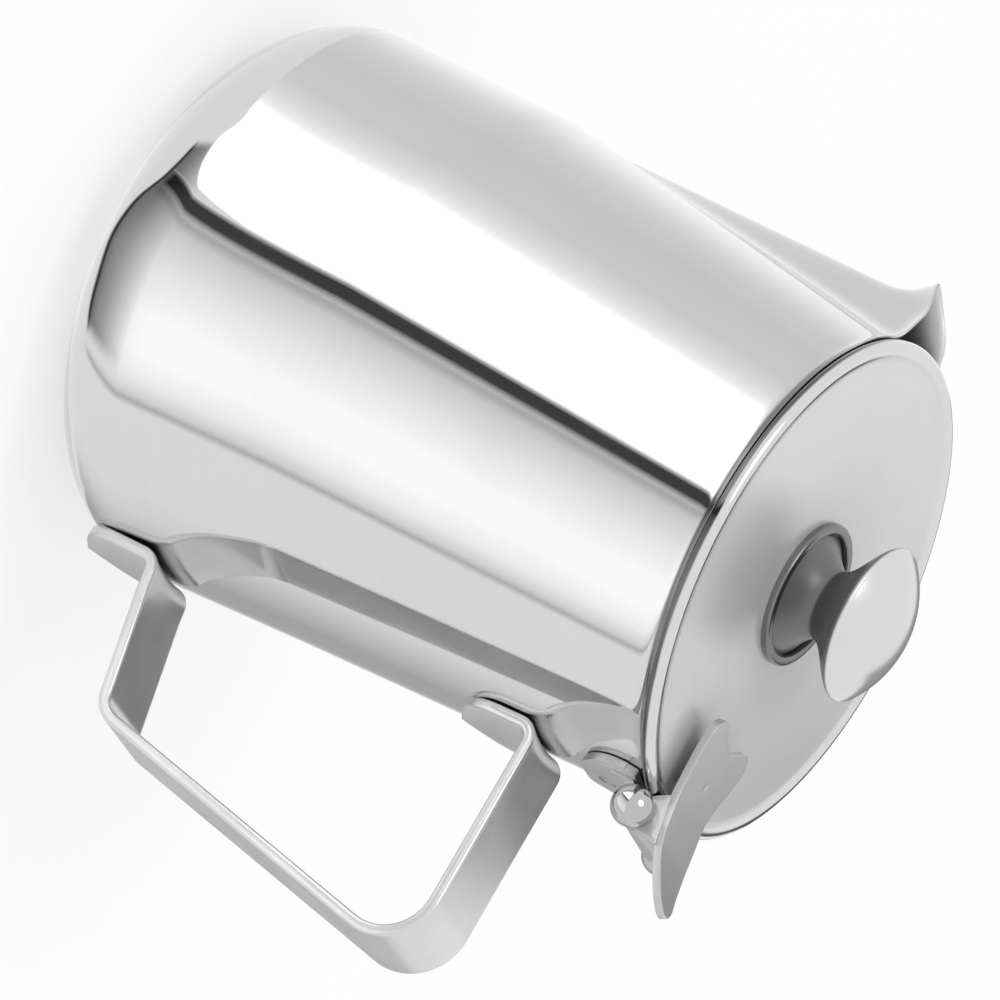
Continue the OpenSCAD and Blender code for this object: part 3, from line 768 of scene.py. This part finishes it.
lever_top = softened(lever_place, 1.6)
lever_half = softened(lever_width, 0.6)
across_n, along_n = 57, 110
v, u = np.meshgrid(np.linspace(-1, 1, across_n), np.linspace(0, 1, along_n))
inner = np.clip(np.abs(v) / notch_share, 0, 1)
outer = np.clip((np.abs(v) - notch_share) / (1 - notch_share), 0, 1)
front = lever_front - lobe_notch * (1 - inner * inner * (3 - 2 * inner)) - lobe_round * outer ** 2
tail = lever_tail + tail_round * v ** 4
x = front + u * (tail - front)
y = v * lever_half(x)
dent = np.clip(1 - np.hypot(x - dimple_x, y) / dimple_r, 0, 1)
z = lever_top(x) - dimple_deep * dent * dent * (3 - 2 * dent)
points = np.stack([x, y, z], -1).reshape(-1, 3) * mm
faces = [(j * across_n + i, j * across_n + i + 1, (j + 1) * across_n + i + 1,
          (j + 1) * across_n + i) for j in range(along_n - 1) for i in range(across_n - 1)]
satin_lever = steel("satin_lever", tone=0.52, gloss=0.27, grain=(700, 300, 700), depth=0.6e-6,
                    smudge=0.05, metal=0.6)
lever = mesh_piece("lever_sheet", points, faces)
lever.data.materials.append(satin_lever)
shell = lever.modifiers.new("sheet", "SOLIDIFY")
shell.thickness = lever_t * mm
shell.offset = -1
lever_edge, ear_edge, lever_sharp = 0.22, 0.15, 50
rounded_edges(lever, lever_edge * mm, lever_sharp)

# An ear's outline is a round about the pin and the straight lines between these corners
ear_r, ear_y = pin_r + 1.1, ear_out - lever_t / 2
ear_corners = [(-45, 110.9), (-42.6, 115.3), (-46, 116.2), (-50.2, 117.2), (-49.5, 112.9)]
ear_ring = [(pin_at[0] + ear_r * math.cos(t), pin_at[2] + ear_r * math.sin(t))
            for t in np.linspace(math.radians(160), math.radians(318), 28)]
for start, end in zip(ear_corners, ear_corners[1:]):
    ear_ring += [tuple(p) for p in np.linspace(start, end, 8)[1:]]
ear_ring.pop()
ears = []
count = len(ear_ring)
far = 2 * count
for side in (-1, 1):
    points = []
    for w in (-1, 1):
        for px, pz in ear_ring:
            t = math.atan2(pz - pin_at[2], px - pin_at[0])
            for rx, rz in ((px, pz), (pin_at[0] + hole_r * math.cos(t),
                                      pin_at[2] + hole_r * math.sin(t))):
                points.append((rx * mm, (side * ear_y + w * lever_t / 2) * mm, rz * mm))
    faces = []
    for i in range(count):
        a, b, c, d = 2 * i, 2 * i + 1, 2 * ((i + 1) % count) + 1, 2 * ((i + 1) % count)
        faces += [(a, b, c, d), (far + d, far + c, far + b, far + a),
                  (a, d, far + d, far + a), (b, far + b, far + c, c)]
    ear = mesh_piece("ear", points, faces)
    ear.data.materials.append(satin_lever)
    rounded_edges(ear, ear_edge * mm, lever_sharp)
    ears.append(ear)

# The pressed dimple reaches down to the lid
nub_low, nub_top = 113.12, 115.2
nub_profile = [(0, nub_low), (1.5, nub_low), (1.2, 113.6), (1.1, nub_top), (0, nub_top)]
nub = turned("nub", nub_profile, (dimple_x, 0, 0), satin_lever, count=32)
work = bmesh.new()
for piece in [lever, nub] + ears:
    work.from_mesh(piece.data)
work.to_mesh(lever.data)
work.free()
for piece in [nub] + ears:
    bpy.data.objects.remove(piece)
lever.data.set_sharp_from_angle(angle=math.radians(lever_sharp))
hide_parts("thumb_lever")
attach(lever, "lid_assembly")

# Lid: a stamped disc of stainless sheet with a brushed face. Its edge is curled under into a
# round polished bead that rests over the rim, and a notch at the back clears the bracket.
lid_x = -4.8
lid_r = 39.802
bead_r = 1.1
lid_face = 113.1
lid_low = 111.3
bead_x = lid_r - bead_r
bead_z = lid_low + bead_r


def polished_bead_shaded_under(flow, where):
    """The flat of the lid is brushed, and its curled edge is polished, with painted shade on its
    underside.
    """
    x, y, height = (part / mm for part in split(flow, where))
    x = x - lid_x
    bead_w, bead_soft = 1.6, 0.8
    beaded = eased((root(x * x + y * y) - bead_x + bead_w) / bead_soft)
    painted_shade_under = beaded * eased((bead_z + 0.35 - height) / 0.4)
    # Painted shade: the bead's tone drops by 0.85 on its lower side, over the gap at the rim.
    return 1.0 + 0.05 * beaded - 0.85 * painted_shade_under, -0.26 * beaded, 0.55 + 0.4 * beaded


polished_lid = steel("polished_lid", tone=0.65, gloss=0.34, grain=(1400, 40, 40),
                     depth=1.2e-6, round_at=(lid_x * mm, 0), change=polished_bead_shaded_under)
screw_hole = 2.1
bead_run = 2.2
lid_profile = [(r, lid_face - sheet_t) for r in (screw_hole, 12, 25, 35)]
lid_profile += [(bead_x + bead_r * math.cos(t), bead_z + bead_r * math.sin(t))
                for t in np.linspace(math.pi * 1.03, math.pi * 2.5, 34)]
for u in np.linspace(0, 1, 14)[1:]:
    ease = u * u * (3 - 2 * u)
    lid_profile.append((bead_x - bead_run * u,
                        bead_z + bead_r - (bead_z + bead_r - lid_face) * ease))
lid_profile += [(r, lid_face) for r in (34, 25, 16, 9, screw_hole)]
lid_profile += [(screw_hole, lid_face - sheet_t)]
lid = turned("lid_sheet", lid_profile, (lid_x, 0, 0), polished_lid, count=256)
notch_y, notch_x = 7.5, -42.2
behind, below, above = -60, 105, 120
cutter = mesh_piece("cutter", [(x * mm, y * mm, z * mm) for z in (below, above)
                               for x, y in ((behind, -notch_y), (notch_x, -notch_y),
                                            (notch_x, notch_y), (behind, notch_y))],
                    [(0, 3, 2, 1), (4, 5, 6, 7), (0, 1, 5, 4), (1, 2, 6, 5), (2, 3, 7, 6),
                     (3, 0, 4, 7)])
cut = lid.modifiers.new("notch", "BOOLEAN")
cut.operation = "DIFFERENCE"
cut.object = cutter
cut.solver = "EXACT"
finish_mesh(lid)
bpy.data.objects.remove(cutter)
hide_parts("lid")
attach(lid, "lid_assembly")

# Knob collar: a low ring turned from stainless steel that frames the foot of the knob. It is
# seated on the lid. Its satin face is painted dark round the knob, as shade under the knob's
# head.
collar_r, collar_in, collar_h = 11.3, 9.8, 1.2
collar_round, inner_round = 0.5, 0.25
collar_profile = [(collar_in, 0), (collar_r, 0)]
collar_profile += [(collar_r - collar_round + collar_round * math.cos(t),
                    collar_h - collar_round + collar_round * math.sin(t))
                   for t in np.linspace(0, math.pi / 2, 7)]
collar_profile += [(collar_in + inner_round - inner_round * math.sin(t),
                    collar_h - inner_round + inner_round * math.cos(t))
                   for t in np.linspace(0, math.pi / 2, 5)]
collar_profile += [(collar_in, 0)]
# Painted shade: the collar's steel tone is set very dark for the shade under the knob's head.
collar_steel_shaded = steel("collar_steel_shaded", tone=0.2, gloss=0.2, grain=(3000, 200, 3000),
                     depth=2e-6, smudge=0.05, round_at=(lid_x * mm, 0))
collar = turned("collar_ring", collar_profile, (lid_x, 0, lid_face), collar_steel_shaded, count=128)
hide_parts("knob_collar")
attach(collar, "lid_assembly")


# Knob: turned from bar, with a hollow-sided foot, a narrow neck and a polished domed head. A
# screw from under the lid holds it.
def bezier(a, b, c, d, count):
    """Points along a curve from a to d that leaves towards b and arrives from c."""
    t = np.linspace(0, 1, count)[:, None]
    a, b, c, d = (np.array(p, float) for p in (a, b, c, d))
    curve = a * (1 - t) ** 3 + 3 * b * t * (1 - t) ** 2 + 3 * c * t * t * (1 - t) + d * t ** 3
    return [tuple(p) for p in curve]


knob_r, knob_h, knob_rim_h = 12.35, 16.7, 11.7
knob_foot, neck_r, neck_h = 9.65, 5.4, 4.4
knob_hole, screw_r = 9.0, 2.02
dome_h = knob_h - knob_rim_h
dome_r = (knob_r ** 2 + dome_h ** 2) / (2 * dome_h)
rim_angle = math.asin((dome_r - dome_h) / dome_r)
knob_profile = [(0, knob_hole), (screw_r, knob_hole), (screw_r, 0), (knob_foot - 0.2, 0)]
knob_profile += bezier((knob_foot, 0.25), (knob_foot - 1.4, 1.1), (neck_r + 0.7, neck_h - 1.8),
                       (neck_r, neck_h), 30)
knob_profile += bezier((neck_r, neck_h + 0.2), (neck_r + 0.4, neck_h + 2.4),
                       (knob_r - 2.6, knob_rim_h - 2.8), (knob_r - 0.4, knob_rim_h - 0.5), 30)
rim_round, rim_from = 0.45, -0.75
rim_centre = knob_r - rim_round * math.sqrt(2)
knob_profile += [(rim_centre + rim_round * math.cos(t), knob_rim_h + rim_round * math.sin(t))
                 for t in np.linspace(rim_from, rim_angle, 10)]
knob_profile += [(dome_r * math.cos(t), knob_h - dome_r + dome_r * math.sin(t))
                 for t in np.linspace(rim_angle + 0.03, math.pi / 2, 44)]


def satin_shaded_sides(flow, where):
    """The sides of the knob are dull up to the rim and darkened there by painted shade; the dome
    is polished.
    """
    height = split(flow, where)[2] / mm - lid_face
    domed = eased((height - knob_rim_h + 0.2) / 0.5)
    side_shade_tone = 0.26
    # Painted shade: up to the dome's rim the knob's tone is cut to about a quarter.
    return side_shade_tone + (1 - side_shade_tone) * domed, 0.14 * (1 - domed), 0.6


polished_knob = steel("polished_knob", tone=0.66, gloss=0.2, grain=(2200, 60, 2200),
                      depth=1.2e-6, round_at=(lid_x * mm, 0), change=satin_shaded_sides)
knob_gap = 0.01
knob = turned("knob_turning", knob_profile, (lid_x, 0, lid_face + knob_gap), polished_knob,
              count=160)
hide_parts("knob")
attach(knob, "lid_assembly")

# Washer and screw: plain stainless fasteners under the lid that hold the knob. Their CAD shapes
# are right and stay.
screw_steel = steel("screw_steel", tone=0.55, gloss=0.18, grain=(900, 900, 900), depth=2e-6,
                    smudge=0.05)
for node in ("knob_washer", "knob_screw"):
    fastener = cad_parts[node]
    for slot in fastener.material_slots:
        slot.material = screw_steel

bpy.context.view_layer.update()
